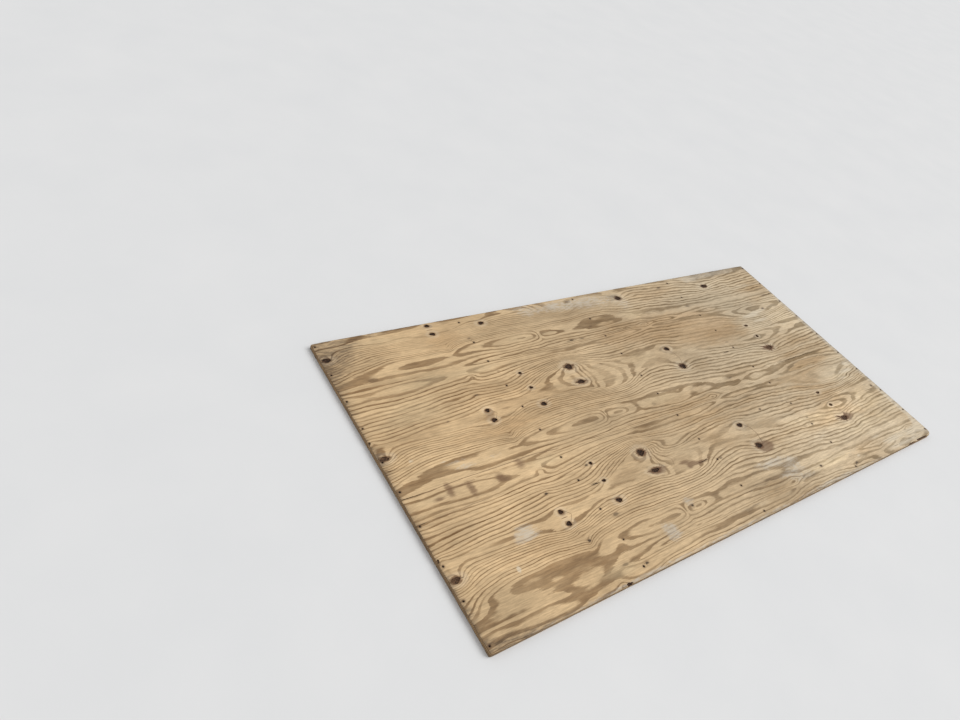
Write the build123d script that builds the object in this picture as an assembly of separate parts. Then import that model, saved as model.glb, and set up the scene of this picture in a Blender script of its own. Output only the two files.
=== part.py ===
from build123d import *
import math
import os

# A used sheet of softwood plywood, 4 by 8 feet and 23/32 inch thick, in millimetres.
# It lies face up. The origin is the middle of its underside, +X runs along the grain of
# the face, +Y across it, and +Z out of the face. "Left" is the -X end, "near" the -Y edge.

# The sheet
LENGTH = 2438.4
WIDTH = 1219.2
THICKNESS = 18.3
FACE_VENEER = 3.6  # the top veneer, which is as deep as an open knot or a crack goes
FACE_ARRIS = 1.6  # wear along the edges of the face
BACK_ARRIS = 0.8  # wear along the edges of the underside

# Corners, as they were knocked round: radius of each, seen from above
LEFT_NEAR_CORNER = 5.0
LEFT_FAR_CORNER = 4.0
RIGHT_NEAR_CORNER = 26.0
RIGHT_FAR_CORNER = 10.0

# Old nail holes, in rows over the joists that the sheet was nailed to
JOIST_SPACING = 609.6
END_ROW_INSET = 10.0
ROW_EDGE_MARGIN = 24.6
NAIL_PITCH = 117.0
END_NAIL_PITCH = 130.0
NAIL_DRIFT = 8.0  # how far a hand-driven nail strays along its row
DRIFT_TURN = 2.3  # radians from one nail to the next, which scatter the drift unevenly
ROW_DRIFT_TURN = 1.9  # and from one row to the next
FIRST_DRIFT_TURN = -0.2
NAIL_HOLE_RADIUS = 1.8

# Open knots. The veneer was peeled off a turning log, so each knot of the log shows again
# one turn further across the sheet. A whorl of branches grows at one height of the tree.
LOG_TURN = 452.0
KNOT_EDGE_MARGIN = 15.0
# Each whorl: its distance from the left end, and its knots. Each knot: its place across
# the sheet from the middle, its length along the grain and its width.
WHORLS = [
    (22.0, [(67.0, 30.0, 18.0)]),
    (468.0, [(95.0, 22.0, 16.0), (142.0, 18.0, 15.0)]),
    (700.0, [(105.0, 24.0, 16.0), (190.0, 15.0, 11.0), (268.0, 14.0, 11.0)]),
    (926.0, [(157.0, 34.0, 17.0), (241.0, 32.0, 27.0)]),
    (1462.0, [(97.0, 32.0, 25.0), (205.0, 26.0, 20.0)]),
    (2037.0, [(67.0, 38.0, 21.0), (145.0, 17.0, 13.0), (220.0, 20.0, 11.0)]),
]
# The larger knots dried out and cracked across, along the grain.
CRACKED_KNOT_LENGTH = 30.0
KNOT_CRACK_REACH = 16.0
KNOT_CRACK_WIDTH = 2.4

# Splits that run in from the left end: place across the sheet, length and mouth
LEFT_END_SPLITS = [(-90.0, 75.0, 2.6), (-186.0, 42.0, 2.2), (20.0, 34.0, 2.0)]
# and from the right end
RIGHT_END_SPLITS = [(382.0, 120.0, 2.4), (-14.0, 90.0, 2.0)]
# Cracks in the face: distance from the left end, place across, length and width
FACE_CRACKS = [
    (2120.0, -25.0, 330.0, 2.6),
    (1762.0, 105.0, 40.0, 2.6),
    (1150.0, -329.0, 66.0, 2.8),
    (664.0, -263.0, 36.0, 2.8),
    (1040.0, 366.0, 70.0, 2.2),
]
# Places where the face veneer broke away at an edge: distance along it from the left end
# or from the middle, length along it, and reach into the sheet
NEAR_EDGE_BREAKS = [(524.0, 26.0, 9.0), (2262.0, 70.0, 4.5), (2352.0, 96.0, 7.0)]
LEFT_END_BREAKS = [(138.0, 15.0, 8.0), (-314.0, 15.0, 8.0)]

CUT_CLEARANCE = 1.0  # how far a cutting shape stands above the face that it cuts


def sheet_blank():
    """The plain sheet: its outline with the blunted corners, and worn arrises."""
    outline = Rectangle(LENGTH, WIDTH)
    corners = [
        (-1, -1, LEFT_NEAR_CORNER),
        (-1, 1, LEFT_FAR_CORNER),
        (1, -1, RIGHT_NEAR_CORNER),
        (1, 1, RIGHT_FAR_CORNER),
    ]
    for side_x, side_y, radius in corners:
        corner = Vector(side_x * LENGTH / 2, side_y * WIDTH / 2, 0)
        outline = fillet(outline.vertices().sort_by_distance(corner)[0], radius)
    blank = extrude(outline, THICKNESS)
    face_edges = blank.faces().sort_by(Axis.Z)[-1].edges()
    blank = chamfer(face_edges, FACE_ARRIS)
    back_edges = blank.faces().sort_by(Axis.Z)[0].edges()
    return chamfer(back_edges, BACK_ARRIS)


def from_left(distance):
    """The X of a point at this distance from the left end."""
    return distance - LENGTH / 2


def eye_cut(x, y, length, width):
    """A hole through the face veneer that is pointed along the grain, where the fibres part."""
    tip, other_tip = (-length / 2, 0), (length / 2, 0)
    outline = ThreePointArc(tip, (0, width / 2), other_tip)
    outline += ThreePointArc(other_tip, (0, -width / 2), tip)
    cut = extrude(make_face(outline), FACE_VENEER + CUT_CLEARANCE)
    return Pos(x, y, THICKNESS - FACE_VENEER) * cut


def open_knots():
    """Every open knot, and the drying crack of the larger ones."""
    cuts = []
    for distance, knots in WHORLS:
        x = from_left(distance)
        for place, length, width in knots:
            for turn in range(-2, 3):
                y = place + turn * LOG_TURN
                if abs(y) > WIDTH / 2 - KNOT_EDGE_MARGIN:
                    continue
                cuts.append(eye_cut(x, y, length, width))
                if length >= CRACKED_KNOT_LENGTH:
                    crack_length = length + 2 * KNOT_CRACK_REACH
                    cuts.append(eye_cut(x, y, crack_length, KNOT_CRACK_WIDTH))
    return cuts


def splits_and_cracks():
    """End splits, whose outer half lies past the end, and the cracks within the face."""
    cuts = [eye_cut(-LENGTH / 2, y, 2 * reach, mouth) for y, reach, mouth in LEFT_END_SPLITS]
    cuts += [eye_cut(LENGTH / 2, y, 2 * reach, mouth) for y, reach, mouth in RIGHT_END_SPLITS]
    for distance, y, length, width in FACE_CRACKS:
        cuts.append(eye_cut(from_left(distance), y, length, width))
    return cuts


def edge_breaks():
    """Broken places at the edges: cuts whose outer half lies past the edge."""
    cuts = []
    for distance, length, reach in NEAR_EDGE_BREAKS:
        cuts.append(eye_cut(from_left(distance), -WIDTH / 2, length, 2 * reach))
    for y, length, reach in LEFT_END_BREAKS:
        cuts.append(eye_cut(-LENGTH / 2, y, 2 * reach, length))
    return cuts


def nail_rows():
    """The X of each row of nails, and the pitch of the nails in it."""
    end_row = LENGTH / 2 - END_ROW_INSET
    rows = [(-end_row, END_NAIL_PITCH), (end_row, END_NAIL_PITCH)]
    joists = math.floor((end_row - NAIL_PITCH) / JOIST_SPACING)
    for number in range(-joists, joists + 1):
        rows.append((number * JOIST_SPACING, NAIL_PITCH))
    return sorted(rows)


def nail_places():
    """The middle of every nail hole. The nails stray along the row, never off the joist."""
    places = []
    first = ROW_EDGE_MARGIN - WIDTH / 2
    for row, (x, pitch) in enumerate(nail_rows()):
        nails = round((WIDTH - 2 * ROW_EDGE_MARGIN) / pitch) + 1
        for nail in range(nails):
            turn = FIRST_DRIFT_TURN + nail * DRIFT_TURN + row * ROW_DRIFT_TURN
            places.append((x, first + nail * pitch + NAIL_DRIFT * math.sin(turn)))
    return places


def nail_holes():
    """A hole right through the sheet for each nail that was pulled out."""
    hole_length = THICKNESS + 2 * CUT_CLEARANCE
    hole = Pos(0, 0, THICKNESS / 2) * Cylinder(NAIL_HOLE_RADIUS, hole_length)
    return [Pos(x, y, 0) * hole for x, y in nail_places()]


def plywood_sheet():
    """The whole sheet, one piece."""
    return sheet_blank() - open_knots() - splits_and_cracks() - edge_breaks() - nail_holes()


os.makedirs("parts", exist_ok=True)
export_step(plywood_sheet(), "parts/plywood_sheet.step")
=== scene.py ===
# %% [markdown]
# # A used sheet of softwood plywood
# One plywood sheet, 4 by 8 feet, that was nailed down over joists and pulled up again. The
# solid has the true size, the open knots, the cracks and the nail holes. This script adds
# the flame-like figure of peeled wood, torn edges with five plies, stains and grey of age.
#
# The box of the imported solid is kept, and gives the sheet its size.

# %% Load the solid
import math

import bpy
import numpy as np
from mathutils import Matrix, Vector


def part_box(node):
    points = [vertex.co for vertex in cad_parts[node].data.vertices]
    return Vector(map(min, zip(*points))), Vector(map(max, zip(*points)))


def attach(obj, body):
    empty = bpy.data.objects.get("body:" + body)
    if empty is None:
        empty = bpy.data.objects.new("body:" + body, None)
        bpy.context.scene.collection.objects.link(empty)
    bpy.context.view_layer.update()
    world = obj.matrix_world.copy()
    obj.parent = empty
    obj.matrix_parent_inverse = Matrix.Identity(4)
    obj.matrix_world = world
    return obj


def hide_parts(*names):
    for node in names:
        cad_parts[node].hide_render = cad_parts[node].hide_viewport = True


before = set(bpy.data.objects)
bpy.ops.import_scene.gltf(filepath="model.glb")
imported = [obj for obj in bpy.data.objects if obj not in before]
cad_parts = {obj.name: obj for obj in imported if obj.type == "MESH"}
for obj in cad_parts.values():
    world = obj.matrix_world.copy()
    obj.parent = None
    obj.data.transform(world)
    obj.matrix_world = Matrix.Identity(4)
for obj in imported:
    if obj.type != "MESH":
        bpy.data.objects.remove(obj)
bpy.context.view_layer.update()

MM = 0.001  # Blender works in metres, and the sheet is described in millimetres
HALF_LENGTH, HALF_WIDTH, THICKNESS = (float(side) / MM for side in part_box("plywood_sheet")[1])
print("sheet", 2 * HALF_LENGTH, "by", 2 * HALF_WIDTH, "by", THICKNESS, "mm")

# %% [markdown]
# ## Where the sheet is seen from
# A camera can be placed by eye, or worked out from the picture. Four corners of a sheet
# whose size is known fix it fully: its place, its direction, its tilt and how wide it sees.
# The direction is a vector along the view, and the roll is the angle by which upright
# things lean to the right in the picture.

# %% Camera
CAMERA_PLACE = Vector((-2.1622, -1.0828, 1.8021))
CAMERA_LOOK = Vector((0.5519, 0.5271, -0.6462))
CAMERA_ROLL = math.radians(21.39)
PICTURE_WIDTH, FOCAL_LENGTH = 960, 733.8  # both in pixels of the picture
SENSOR_WIDTH = 36.0


def placed(name, data):
    """A new object in the scene, for a mesh, a lamp or a camera."""
    made = bpy.data.objects.new(name, data)
    bpy.context.scene.collection.objects.link(made)
    return made


eye = placed("eye", bpy.data.cameras.new("eye"))
level = CAMERA_LOOK.to_track_quat("-Z", "Y").to_matrix().to_4x4()
roll = Matrix.Rotation(CAMERA_ROLL, 4, "Z")
eye.matrix_world = Matrix.Translation(CAMERA_PLACE) @ level @ roll
eye.data.sensor_width = SENSOR_WIDTH
eye.data.lens = FOCAL_LENGTH / PICTURE_WIDTH * SENSOR_WIDTH
eye.data.clip_end = 200
bpy.context.scene.camera = eye
print("lens", round(eye.data.lens, 2), "mm")

# %% [markdown]
# ## Tables, colours and unevenness
# Tables are read from plain text. Colours are easiest to name by the three bytes of a
# screen colour, but the renderer works in amounts of light, so one function turns the first
# into the second. Nothing in wood is quite even, and a shape or a material that is looks
# false. The cheapest smooth unevenness is a lattice of random numbers with smooth steps
# between them. It works on whole arrays, and its seed makes it come out the same on every
# run.


# %% Small helpers
def table(text):
    """A table from text: commas part its rows, and spaces the numbers in a row."""
    return [[float(number) for number in row.split()] for row in text.split(",")]


def light_of(red, green, blue):
    """A screen colour, 0 to 255 each, as linear light: the usual screen curve, undone."""
    share = np.array([red, green, blue]) / 255
    linear = np.where(share <= 0.04045, share / 12.92, ((share + 0.055) / 1.055) ** 2.4)
    return (*(float(value) for value in linear), 1.0)


NOISE_CELLS = 64  # after so many cells each way the noise repeats


def smooth_noise(x, y, size_x, size_y, seed):
    """Random numbers from -1 to 1 on a lattice of cells size_x by size_y.

    Between them they are blended by a smooth step, t cubed times (6 t squared - 15 t + 10).
    """
    lattice = np.random.default_rng(seed).uniform(-1, 1, (NOISE_CELLS, NOISE_CELLS))
    across, along = np.asarray(x) / size_x + 17.3, np.asarray(y) / size_y + 11.7
    column, row = np.floor(across).astype(int), np.floor(along).astype(int)
    s, t = (part**3 * (part * (part * 6 - 15) + 10) for part in (across - column, along - row))
    corner = lambda i, j: lattice[(column + i) % NOISE_CELLS, (row + j) % NOISE_CELLS]
    near = corner(0, 0) * (1 - s) + corner(1, 0) * s
    far = corner(0, 1) * (1 - s) + corner(1, 1) * s
    return near * (1 - t) + far * t


# %% [markdown]
# ## The log inside the veneer
# The face veneer was peeled from a turning log like paper from a roll. One turn gives 452
# mm of veneer, so each knot comes round again 452 mm further across the sheet. Branches
# grow in whorls, and a whorl is a column of knots at one place along the sheet. The knots
# could be placed one by one, but each is listed once, for the middle turn, and a loop gives
# its repeats, as the log did.

# %% Knots of the log
LOG_TURN = 452.0
KNOT_EDGE_MARGIN = 15.0
# from the left end, across, length and width of the hole, rings that the knot lifts, and
# how dark the wood round it is
LOG_KNOTS = table("""
    22 67 30 18 1.4 .7, 468 95 22 16 1 .5, 468 142 18 15 1 .5, 700 105 24 16 1 .6,
    700 190 15 11 .7 .5, 700 268 14 11 .7 .5, 926 157 34 17 1.2 .8, 926 241 32 27 1.3 .75,
    1462 97 32 25 1.2 .7, 1462 205 26 20 1.1 .5, 2037 67 38 21 1.3 1, 2037 145 17 13 .8 .4,
    2037 220 20 11 .8 .4
""")


def open_knots():
    """One row for each open knot: x, y, hole length, hole width, lift in rings, darkness."""
    rows = []
    for distance, across, *look in LOG_KNOTS:
        for y in across + LOG_TURN * np.arange(-2, 3):
            if abs(y) <= HALF_WIDTH - KNOT_EDGE_MARGIN:
                rows.append((distance - HALF_LENGTH, y, *look))
    return np.array(rows)


KNOTS = open_knots()
print(len(KNOTS), "open knots")

# %% [markdown]
# ## Annual rings on a peeled face
# A log is never round about the spindle. So the knife ran through many rings on the flanks
# of the bulging side, which gives fine straight lines, and along the rings at its belly and
# crown, which gives broad flames and ovals. Plain bands from a texture would show neither.
# So the figure isn't drawn: it is one number for each point, the count of rings at the
# knife, and a dark line of late wood appears wherever that number passes a whole one. The
# tables say where the parts of one turn lie at a few places along the sheet, and how many
# rings deep each part is.

# %% The turn of the log, part by part
# each row: place along the sheet, and place across it in the middle turn
LOWER_FLANK_END = table("""
    -1220 -154, -700 -152, -640 -149, -500 -126, -300 -124, -200 -138, -50 -134, 190 -128, 290 -114,
    400 -118, 700 -142, 830 -182, 1000 -184, 1220 -152
""")
LOWER_LOBE = table("""
    -1220 -127, -760 -132, -640 -126, -500 -113, -300 -110, -180 -122, -50 -118, 190 -117, 290 -104,
    400 -108, 700 -120, 830 -140, 1000 -140, 1220 -128
""")
SADDLE = table("""
    -1220 -97, -800 -98, -700 -92, -300 -86, -100 -84, 190 -92, 290 -88, 400 -84, 700 -88, 850 -92,
    1220 -90
""")
UPPER_LOBE = table("""
    -1220 -76, -1100 -52, -1000 -38, -780 -36, -680 -20, -300 -17, -100 -22, 100 -30, 250 -48,
    500 -56, 760 -54, 850 -46, 1220 -44
""")
UPPER_FLANK_START = table("""
    -1220 -62, -1150 -30, -1000 -6, -800 -6, -730 -12, -690 4, -560 16, -400 24, -250 17, 0 18,
    90 12, 200 -2, 400 -14, 700 -38, 850 -32, 1220 -22
""")
CROWN_START = table("""
    -1220 92, -1050 100, -850 98, -775 72, -720 80, -600 124, -450 140, -290 138, -200 104, -90 102,
    0 136, 120 146, 240 128, 330 140, 500 142, 700 128, 850 112, 1220 128
""")
CROWN_END = table("""
    -1220 130, -1100 130, -950 141, -800 154, -740 166, -620 158, -540 172, -450 216, -300 262,
    -200 236, -100 214, 0 232, 120 246, 230 236, 330 200, 500 174, 700 158, 850 166, 1220 214
""")
# each row: place along the sheet, and the rings there
LOWER_LOBE_RINGS = table("""
    -1220 .2, -1120 .45, -1000 .1, -920 .2, -880 .62, -800 .8, -772 1.2, -750 .9, -735 .3, -600 .1,
    -400 .2, -250 .5, -150 .7, -50 .5, 60 .2, 300 .3, 400 .4, 520 .65, 620 .35, 700 .62, 800 .3,
    860 -.3, 920 -.9, 1000 -1.35, 1100 -.8, 1220 -.2
""")
SADDLE_RINGS = table("""
    -1220 1.8, -900 1.7, -760 1.35, -640 2.6, -300 3.7, 0 3.4, 180 3.2, 300 1.5, 700 1.4, 850 2.7,
    1220 2.5
""")
UPPER_LOBE_RINGS = table("""
    -1220 .5, -1130 .66, -1050 .4, -980 .3, -760 .28, -700 .12, -200 .2, 0 .3, 240 .2, 300 .26,
    350 .42, 420 .4, 480 .15, 560 .15, 660 .42, 760 .22, 1220 .2
""")
CROWN_RINGS = table("""
    -1220 11.2, -1100 12.6, -1000 13.35, -880 13.2, -780 13.1, -650 13.3, -540 13.1, -460 13.4,
    -400 14.2, -330 15.2, -285 15.3, -262 14.1, -240 12.7, -215 12, -170 11.8, -130 11.5, -90 10.9,
    -60 10.4, 0 9.45, 110 9.2, 220 9.45, 330 10.2, 500 11.3, 760 11.6, 930 10.7, 1220 10.1
""")
TURN_RINGS = (-0.9, 0.0, 1.0)  # what the near, middle and far turn add, as the knife goes deeper


def rounded(x, places):
    """Straight runs between places, rounded off by the mean of five points 16 mm apart."""
    at, value = np.transpose(places)
    return sum(np.interp(x + step, at, value) for step in (-32, -16, 0, 16, 32)) / 5


belly, crown = (float(rounded(np.zeros(1), rows)[0]) for rows in (UPPER_LOBE, CROWN_RINGS))
print("at the middle: belly at", round(belly), "mm, crown", round(crown, 1), "rings up")

# %% [markdown]
# ### Swells, burls and knots
# The log wasn't a smooth body either. Noise would put its swells anywhere, so they are
# added as soft hills at their own places: on the belly each shows as a nest of ovals. Burls
# and knots pull the rings up in a sharp point, so that the lines sweep round them.

# %% Swells, burls and knots
# along, across in the middle turn, reach to the left, reach to the right, half width, and
# the rings that it lifts in the near, middle and far turn
SWELLS = table("""
    -385 -17 255 104 38 -1.55 -2.62 0, -400 -14 250 105 38 0 0 -2.12,
    -238 -18 34 36 13 -1.5 -1.25 -.55, -140 -20 22 16 26 .3 .5 .1, -165 -103 90 80 8 -.5 -.8 -.4,
    -860 -38 150 120 28 0 0 -.7, -860 -36 90 150 26 .36 0 0, -985 -54 100 100 15 .34 0 0,
    -880 -98 300 200 26 -.5 0 0, -800 -92 90 70 28 -.65 0 0, -910 -48 44 40 8 -.5 0 0,
    -1250 -50 10 120 34 2 0 0, -632 -32 28 26 17 .6 0 0, -700 -30 34 30 30 -.1 0 -.25,
    -660 -98 60 200 24 -.8 0 0, -1040 -66 90 110 9 0 .4 .2, 40 -52 210 170 17 .5 0 0,
    20 -22 190 180 38 0 0 -.64, 30 6 60 50 8 0 .5 0, 100 -8 40 36 12 0 .5 0,
    165 -42 34 34 12 .1 .5 .1, 60 -51 130 110 15 0 -.75 0, 240 -34 50 50 20 0 -.4 0,
    480 -23 200 240 21 0 .85 0, 360 -64 60 80 15 0 .4 0, 485 -64 36 46 20 0 .75 0,
    60 -20 200 200 22 -.25 0 0, 950 -62 180 200 20 0 1.6 0, 40 12 120 140 19 0 0 -.85,
    395 -84 80 60 16 0 0 .9, 690 -94 70 60 15 0 0 .8, 40 -42 120 130 13 0 0 -.75,
    200 190 260 200 50 .75 0 0, 500 -50 220 220 30 -.3 0 0, 560 -70 90 90 16 .45 0 .2,
    880 128 70 110 30 1.1 .5 .5, -300 190 120 100 52 -1.95 0 -4, -440 190 90 90 45 .5 0 0,
    -165 232 80 110 27 -3.6 0 0, -130 150 100 90 60 0 0 -2, 1010 -112 60 60 16 -1.1 0 0,
    1120 -82 34 30 14 1.5 0 0, 1150 -104 26 30 12 -1.2 0 0
""")
# along, across, size along, size across, rings at the point
BURLS = table("""
    -1204 67 44 34 6.5, -1204 138 18 12 1.2, -751 95 34 18 .75, -751 142 34 18 .75,
    -751 218 14 10 .6, -519 105 34 14 1.2, -519 190 20 9 .7, -519 268 20 9 .7, -293 157 34 16 1.2,
    -293 241 34 20 1.6, 243 97 34 18 1.6, 243 205 30 16 1.4, 818 67 38 18 1.6, 818 145 20 11 .9,
    818 220 20 11 .9, -735 60 26 26 -2.4, -728 14 15 20 2.6, -718 -150 18 14 2.4, -304 -17 8 22 1.8,
    247 -84 30 24 2.4
""")


def from_middle(y, middle):
    """The way across the veneer from the nearest repeat of a place, one in each turn."""
    return (y - middle + LOG_TURN / 2) % LOG_TURN - LOG_TURN / 2


def lifted(x, y, swayed):
    """Rings added by a Gaussian hill for each swell of its turn, and a cusp for each burl."""
    rings = np.zeros_like(y)
    for along, across, left, right, half_width, *lifts in SWELLS:
        turn = np.clip(np.floor((y - across) / LOG_TURN + 0.5), -1, 1).astype(int) + 1
        way = (x - along) / np.where(x < along, left, right)
        hill = np.exp(-(way**2) - (from_middle(swayed, across) / half_width) ** 2)
        rings += np.array(lifts)[turn] * hill
    for along, across, length, width, lift in BURLS:
        away = np.hypot((x - along) / length, from_middle(y, across) / width)
        rings += lift * np.exp(-np.sqrt(away**2 + 0.05))
    return rings


print(len(SWELLS), "swells,", len(BURLS), "burls and knots")

# %% [markdown]
# ### The count of rings
# In each column across the sheet the count is a folded line: it falls into each lobe, rises
# over the saddle, and climbs the flank to the crown. A smooth curve through all these
# places would swing past them. So the line is added up from its runs, each clipped to its
# own part and eased, so that the lobes are flat and wide.

# %% Rings at the knife
EASE = {
    "even": lambda way: way,
    "out": lambda way: 1 - (1 - way) ** 1.5,
    "in": lambda way: way**1.5,
}
BELLY_MIDDLE, BELLY_HALF_WIDTH = -60, 75


def turn_runs(x):
    """The ends of the runs of all three turns: place across, rings, and the ease up to it."""
    start, end, low, crown = (
        rounded(x, rows) for rows in (CROWN_START, CROWN_END, LOWER_LOBE_RINGS, CROWN_RINGS)
    )
    shoulder = np.minimum(crown - 0.6, 13.4)
    one_turn = [
        (rounded(x, LOWER_FLANK_END), low + 0.66, "even"),
        (rounded(x, LOWER_LOBE), low, "out"),
        (rounded(x, SADDLE), rounded(x, SADDLE_RINGS), "in"),
        (rounded(x, UPPER_LOBE), rounded(x, UPPER_LOBE_RINGS), "out"),
        (rounded(x, UPPER_FLANK_START), 0.75, "in"),
        (start, shoulder, "even"),
        ((start + end) / 2, crown, "out"),
        (end, shoulder, "in"),
    ]
    return [
        (across + turn * LOG_TURN, rings + deeper, ease)
        for turn, deeper in zip((-1, 0, 1), TURN_RINGS)
        for across, rings, ease in one_turn
    ]


def ring_count(x, y):
    """Rings passed at each point: each run's rise times the eased way along it, and more.

    Soft noise is added, less of it on the belly, and what the swells and burls lift.
    """
    sway = 4 * np.sin((x + 900) / 330)
    swayed = y + sway + 6 * smooth_noise(x, y, 260, 120, 1) + 3 * smooth_noise(x, y, 95, 45, 2)
    runs = turn_runs(x)
    first_across, first_rings, _ = runs[0]
    rings = first_rings - 0.09 * np.minimum(swayed - first_across, 0)
    for (across, before, _), (next_across, after, ease) in zip(runs[:-1], runs[1:]):
        way = np.clip((swayed - across) / (next_across - across), 0, 1)
        rings = rings + (after - before) * EASE[ease](way)
    on_belly = np.exp(-((from_middle(swayed, BELLY_MIDDLE) / BELLY_HALF_WIDTH) ** 4))
    rings += (0.3 - 0.16 * on_belly) * smooth_noise(x, y, 240, 50, 3)
    rings += (0.13 - 0.06 * on_belly) * smooth_noise(x, y, 80, 16, 4)
    return rings + lifted(x, y, swayed)


sample = ring_count(np.zeros(1200), np.linspace(-HALF_WIDTH, HALF_WIDTH, 1200))
print("rings crossed on the middle line:", int(np.abs(np.diff(np.floor(sample))).sum()))

# %% [markdown]
# ## The outline, worn round
# The sheet is a box, so it could be a cube with a bevel. But its corners were knocked round
# by different amounts and its edges are torn, so the face is a lattice of points that is
# fitted to the outline. In a corner's square each point is pulled in towards the corner's
# centre, until squares have become quarter circles.

# %% Outline
CORNERS = {(-1, -1): 5.0, (-1, 1): 4.0, (1, -1): 26.0, (1, 1): 10.0}  # left or right, near or far


def corner_reach(x, y):
    """For each point: its corner's radius, and how far it lies into that corner's square."""
    in_quarter = [(np.sign(x) == side) & (np.sign(y) == end) for side, end in CORNERS]
    radius = np.select(in_quarter, list(CORNERS.values()), 5.0)
    into_x = np.maximum(np.abs(x) - (HALF_LENGTH - radius), 0)
    into_y = np.maximum(np.abs(y) - (HALF_WIDTH - radius), 0)
    return radius, into_x, into_y


def fitted(x, y):
    """The rectangle's points on the rounded outline: pulled in by larger side over diagonal."""
    radius, into_x, into_y = corner_reach(x, y)
    in_corner = (into_x > 0) & (into_y > 0)
    diagonal = np.where(in_corner, np.hypot(into_x, into_y), 1)
    share = np.where(in_corner, np.maximum(into_x, into_y) / diagonal, 1)
    pulled_x = np.sign(x) * (HALF_LENGTH - radius + into_x * share)
    pulled_y = np.sign(y) * (HALF_WIDTH - radius + into_y * share)
    return np.where(in_corner, pulled_x, x), np.where(in_corner, pulled_y, y)


def outward(x, y):
    """Unit vectors straight off the sides, and away from the corner's centre in a corner."""
    _, into_x, into_y = corner_reach(x, y)
    size = np.hypot(into_x, into_y)
    return np.sign(x) * into_x / size, np.sign(y) * into_y / size


# %% [markdown]
# ## Torn and worn edges
# The edge shows five plies. Those whose grain runs along it keep it sharp, and those that
# were cut across crumble and draw back. The arris of the face is rubbed round, and near the
# right front corner the face veneer came off in splinters. A bevel would wear every ply
# alike. So the wall is a grid: the way round the outline, and rows of heights, each with
# its own distance in from the outline.

# %% Wall of the sheet
PLY = THICKNESS / 5
ARRIS = 1.5
DEEPEST_TEAR = 3.2
# height above the underside, and how far in from the outline the row lies
WALL_ROWS = [
    (THICKNESS, ARRIS), (THICKNESS - 0.5, 0.5), (THICKNESS - 1.4, 0.05),
    (4 * PLY + 0.3, 0.0), (4 * PLY - 0.3, 0.35), (3 * PLY + 0.25, 0.4), (3 * PLY - 0.2, 0.05),
    (2 * PLY + 0.25, 0.05), (2 * PLY - 0.2, 0.4), (PLY + 0.25, 0.35), (PLY - 0.3, 0.0),
    (1.3, 0.0), (0.4, 0.25), (0.0, 0.8),
]


def torn(along, x, y, height):
    """How far in the wall is torn: by long and short noise along the edge, above a level.

    The top ply is torn most, and most of all near the right front corner.
    """
    upper = np.clip((height - 3.4 * PLY) / PLY, 0, 1)
    ragged = 2.2 * np.clip(smooth_noise(along, height, 26, 3, 21) - 0.35, 0, 1)
    ragged += np.clip(smooth_noise(along, height, 9, 2, 22) - 0.3, 0, 1)
    near_right = np.clip((x - 700) / 300, 0, 1) * (y < 0)
    from_corner = np.hypot(HALF_LENGTH - np.abs(x), HALF_WIDTH - np.abs(y))
    at_corner = np.clip(1 - from_corner / 40, 0, 1)
    tear = ragged * (0.35 + upper * (0.5 + 0.9 * near_right)) + 1.6 * at_corner * upper
    return np.minimum(tear, DEEPEST_TEAR)


def wall_row(x, y, along, height, inset):
    """One row of the wall: the outline drawn in by the row's inset and by what is torn away."""
    out_x, out_y = outward(x, y)
    inward = inset * (1 + 0.4 * smooth_noise(along, height, 45, 5, 23)) + torn(along, x, y, height)
    return np.stack([x - out_x * inward, y - out_y * inward, np.full_like(x, height)], -1)


# %% [markdown]
# ## One closed shell
# Face, wall and underside could be three loose grids, but a sheet that is to be cut must be
# closed: every edge belongs to exactly two faces. So they share their edge points. The
# underside needs fewer points, so its squares are ten times larger, and the ones along the
# rim simply have more corners.

# %% Shell of the sheet
COLUMNS, ROWS, COARSE = 280, 240, 10
DEEPEST_HOLLOW = 0.3


def hollowed(x, y):
    """How far the face has sunk, in mm: shallow hollows of noise, and nothing where they rise."""
    sunk = 0.16 * smooth_noise(x, y, 170, 60, 31) + 0.1 * smooth_noise(x, y, 45, 20, 32)
    return np.clip(sunk, 0, DEEPEST_HOLLOW)


def lattice(columns, rows):
    """The x and y of a lattice over the whole rectangle, so many squares each way."""
    x = np.linspace(-HALF_LENGTH, HALF_LENGTH, columns + 1)
    y = np.linspace(-HALF_WIDTH, HALF_WIDTH, rows + 1)
    return np.meshgrid(x, y, indexing="ij")


def lattice_faces(index):
    """Quads of a lattice of point numbers, wound the same way round."""
    corners = [index[:-1, :-1], index[1:, :-1], index[1:, 1:], index[:-1, 1:]]
    return np.stack(corners, -1).reshape(-1, 4)


def rim(index):
    """The point numbers round the rim of a lattice, anticlockwise from its first corner."""
    return np.concatenate([index[:, 0], index[-1, 1:], index[-2::-1, -1], index[0, -2:0:-1]])


def banded(rows):
    """Quads between rows of point numbers that close up on themselves."""
    ahead = np.roll(rows, -1, axis=1)
    return np.stack([rows[1:], ahead[1:], ahead[:-1], rows[:-1]], -1).reshape(-1, 4)


def underside(rim_points, first):
    """Large squares within the rim, whose outer ones take in every rim point they pass."""
    wide, deep = COLUMNS // COARSE, ROWS // COARSE
    inner = np.arange(first, first + (wide - 1) * (deep - 1)).reshape(wide - 1, deep - 1)
    number = np.full((COLUMNS + 1, ROWS + 1), -1)
    number.ravel()[rim(np.arange(number.size).reshape(number.shape))] = rim_points
    number[COARSE:-1:COARSE, COARSE:-1:COARSE] = inner
    polygons = []
    for i in range(0, COLUMNS, COARSE):
        for j in range(0, ROWS, COARSE):
            round_it = rim(number[i : i + COARSE + 1, j : j + COARSE + 1])
            polygons.append(round_it[round_it >= 0][::-1].tolist())
    x, y = (places[1:-1, 1:-1] for places in lattice(wide, deep))
    return polygons, np.stack([x, y, np.zeros_like(x)], -1).reshape(-1, 3)


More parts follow.
